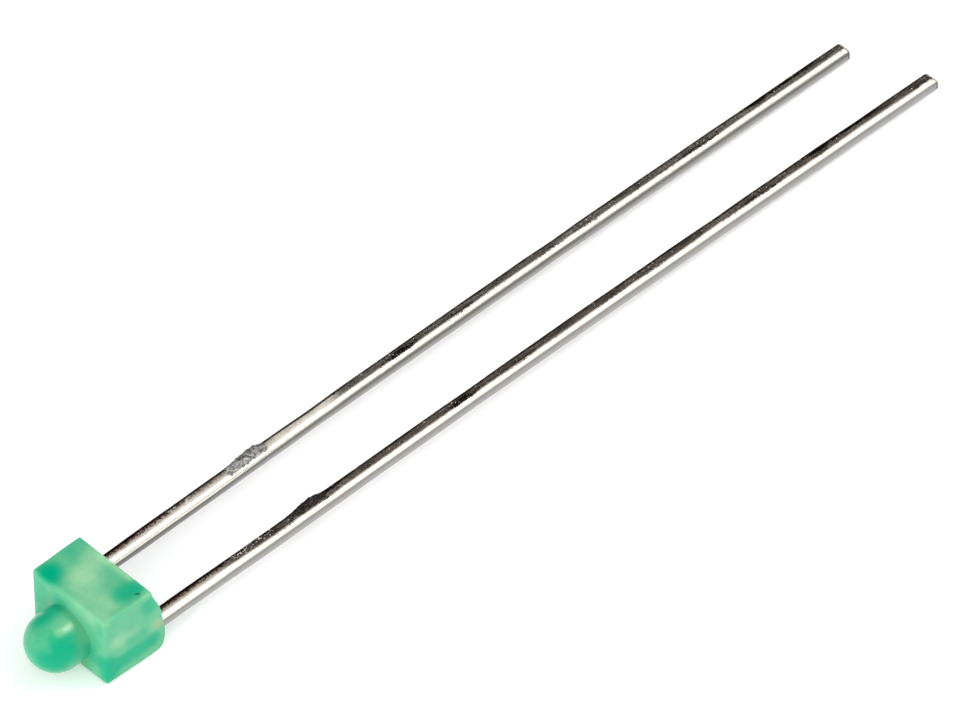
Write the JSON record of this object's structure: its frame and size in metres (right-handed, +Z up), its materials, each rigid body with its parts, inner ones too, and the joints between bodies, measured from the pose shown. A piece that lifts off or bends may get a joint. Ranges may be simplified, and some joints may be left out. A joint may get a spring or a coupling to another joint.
{
  "type": "through-hole LED",
  "caption": "Small indicator LED with a round domed lens on a rectangular diffused epoxy body and long straight leads of unequal length.",
  "frame": {"origin": "on the floor, under the middle of the LED's box, as the LED lies", "axes": "+X from the dome towards the lead ends, +Y towards the cathode, +Z up. The leads run down by 1.61 degrees towards their ends, because the LED rests on the body's lower back edge and the end of the longer lead"},
  "size_m": [0.0334, 0.0031, 0.0025],
  "materials": {
    "tinted_epoxy": "tinted, diffused epoxy, cast with a satin skin",
    "tinned_lead": "stamped steel, bright tinned, with fine die marks",
    "semiconductor": "sawn semiconductor crystal",
    "silver_adhesive": "cured silver-filled adhesive",
    "gold_wire": "drawn gold"
  },
  "bodies": {
    "root": {"lens_body": "tinted_epoxy", "cathode_lead": "tinned_lead", "anode_lead": "tinned_lead", "led_die": "semiconductor", "die_attach": "silver_adhesive", "bond_wire": "gold_wire"}
  },
  "joints": []
}
